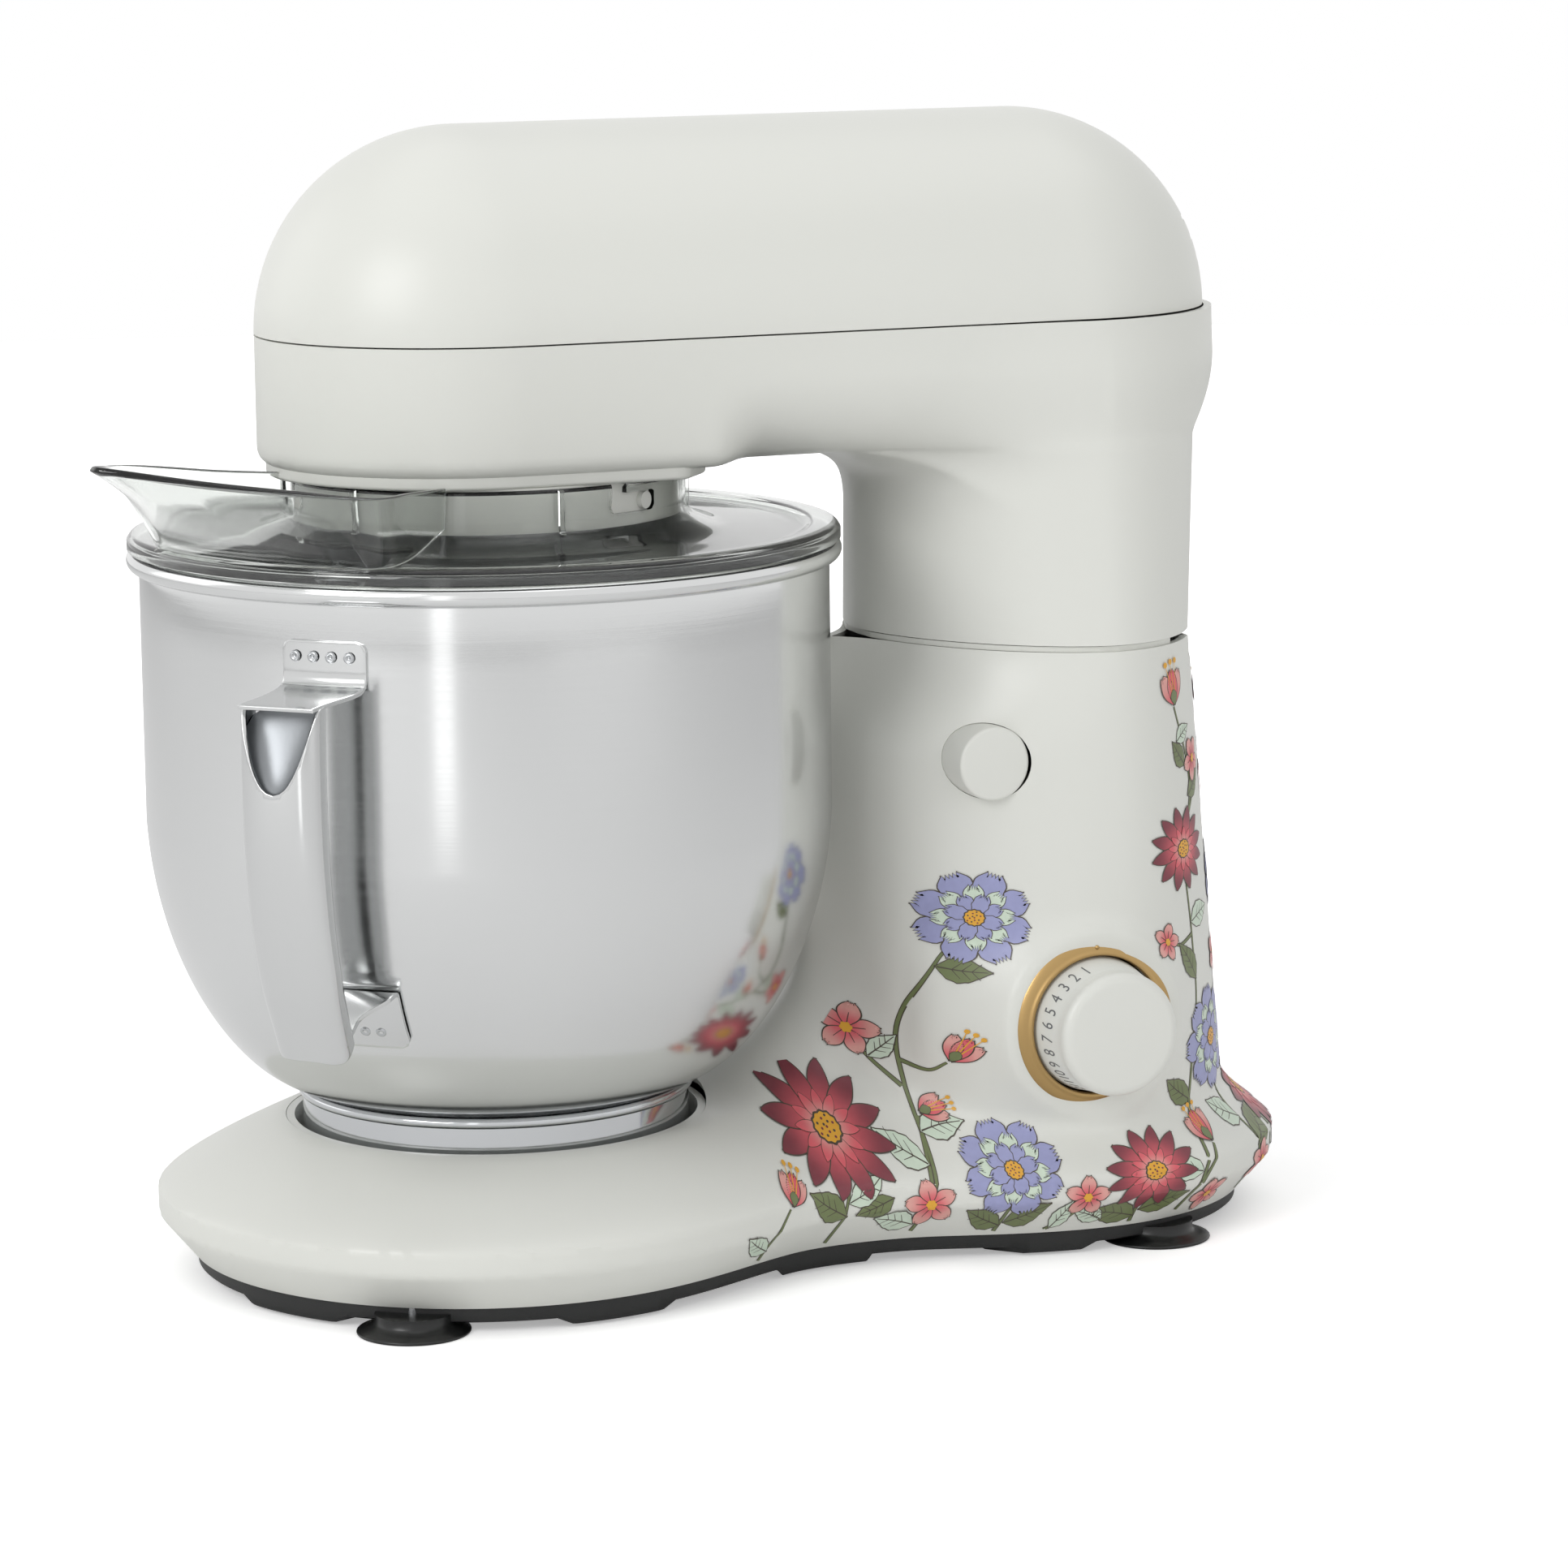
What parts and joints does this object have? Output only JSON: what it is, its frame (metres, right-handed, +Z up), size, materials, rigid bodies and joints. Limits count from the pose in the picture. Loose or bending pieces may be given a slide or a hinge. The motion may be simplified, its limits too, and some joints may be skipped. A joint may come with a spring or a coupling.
{
  "type": "stand mixer",
  "caption": "Tilt-head kitchen stand mixer with planetary drive, steel lift-off bowl, clear splash guard with pour chute, speed knob and tilt button.",
  "frame": {"origin": "centre of the mixer's outline, on the table it stands on", "axes": "+X from the bowl towards the rear column, +Z up, the speed knob and tilt button on the -Y side"},
  "size_m": [0.389, 0.2186, 0.3525],
  "materials": {
    "shell_white": "satin painted shell with a flower print",
    "tray_black": "moulded black",
    "foot_rubber": "soft black",
    "screw_steel": "turned",
    "bracket_steel": "stamped and cut",
    "bezel_gold": "brushed ring",
    "inner_plastic": "moulded",
    "cast_alloy": "cast",
    "bearing_steel": "ground",
    "carbon": "pressed",
    "belt_rubber": "ribbed belt",
    "rotor_steel": "wound",
    "bowl_steel": "brushed wall, bright lower band",
    "guard_clear": "smoky clear moulding"
  },
  "bodies": {
    "base": {"base_housing": "shell_white", "base_tray": "tray_black", "suction_feet": "foot_rubber", "foot_screws": "screw_steel", "bowl_socket": "shell_white", "socket_screws": "screw_steel", "column_deck": "shell_white", "hinge_bracket": "bracket_steel", "hinge_pin": "screw_steel", "speed_bezel": "bezel_gold", "speed_switch": "inner_plastic", "control_board": "inner_plastic", "button_guide": "inner_plastic", "button_spring": "screw_steel", "power_gland": "foot_rubber"},
    "head": {"head_lower": "shell_white", "head_cover": "shell_white", "cover_screws": "screw_steel", "neck_plate": "inner_plastic", "hinge_knuckle": "bracket_steel", "lock_striker": "screw_steel", "guard_mount": "shell_white", "gear_frame": "cast_alloy", "ring_gear": "bracket_steel", "main_bearing": "bearing_steel", "idler_bearing": "bearing_steel", "motor_can": "bracket_steel", "motor_bearings": "bearing_steel", "carbon_brushes": "carbon", "drive_belt": "belt_rubber"},
    "rotor": {"motor_rotor": "rotor_steel", "motor_fan": "inner_plastic", "motor_pulley": "inner_plastic"},
    "idler": {"idler_shaft": "screw_steel", "idler_pinion": "bracket_steel", "idler_pulley": "inner_plastic"},
    "hub": {"planet_hub": "cast_alloy", "main_shaft": "screw_steel", "main_gear": "bracket_steel", "planet_bearing": "bearing_steel"},
    "beater": {"planet_shaft": "screw_steel", "planet_pinion": "bracket_steel", "drive_pin": "screw_steel", "flat_beater": "cast_alloy"},
    "knob": {"speed_knob": "shell_white", "knob_spindle": "screw_steel"},
    "button": {"release_button": "shell_white"},
    "latch": {"lock_slider": "bracket_steel"},
    "bowl": {"bowl": "bowl_steel", "bowl_foot": "bowl_steel", "bowl_handle": "bowl_steel", "handle_grommet": "bowl_steel"},
    "guard": {"splash_guard": "guard_clear", "pour_chute": "guard_clear"}
  },
  "joints": [
    {"name": "head_tilt", "type": "hinge", "parent": "base", "child": "head", "pos_m": [0.151, 0, 0.194], "axis": [0, 1, 0], "range_deg": [0, 30]},
    {"name": "hub_spin", "type": "hinge", "parent": "head", "child": "hub", "pos_m": [-0.063, 0, 0.26], "axis": [0, 0, 1], "continuous": true},
    {"name": "beater_spin", "type": "hinge", "parent": "hub", "child": "beater", "pos_m": [-0.10472, 0.01686, 0.24], "axis": [0, 0, 1], "continuous": true},
    {"name": "idler_spin", "type": "hinge", "parent": "head", "child": "idler", "pos_m": [-0.009, 0, 0.28], "axis": [0, 0, 1], "continuous": true},
    {"name": "rotor_spin", "type": "hinge", "parent": "head", "child": "rotor", "pos_m": [0.113, 0, 0.25], "axis": [0, 0, 1], "continuous": true},
    {"name": "knob_turn", "type": "hinge", "parent": "base", "child": "knob", "pos_m": [0.1083, -0.076, 0.0732], "axis": [0, -1, 0], "range_deg": [0, 300]},
    {"name": "button_press", "type": "slide", "parent": "base", "child": "button", "axis": [0, 1, 0], "range_m": [0, 0.005], "stiffness_N_per_m": 600},
    {"name": "lock_slide", "type": "slide", "parent": "base", "child": "latch", "axis": [0, 1, 0], "range_m": [0, 0.005]},
    {"name": "bowl_twist", "type": "hinge", "parent": "base", "child": "bowl", "pos_m": [-0.063, 0, 0.045], "axis": [0, 0, 1], "range_deg": [-24, 0]},
    {"name": "guard_twist", "type": "hinge", "parent": "head", "child": "guard", "pos_m": [-0.063, 0, 0.24], "axis": [0, 0, 1], "range_deg": [0, 12]}
  ],
  "couplings": [
    {"joint": "beater_spin", "follows": "hub_spin", "ratio": -6},
    {"joint": "idler_spin", "follows": "hub_spin", "ratio": -5},
    {"joint": "rotor_spin", "follows": "hub_spin", "ratio": -25},
    {"joint": "lock_slide", "follows": "button_press", "ratio": 1}
  ]
}
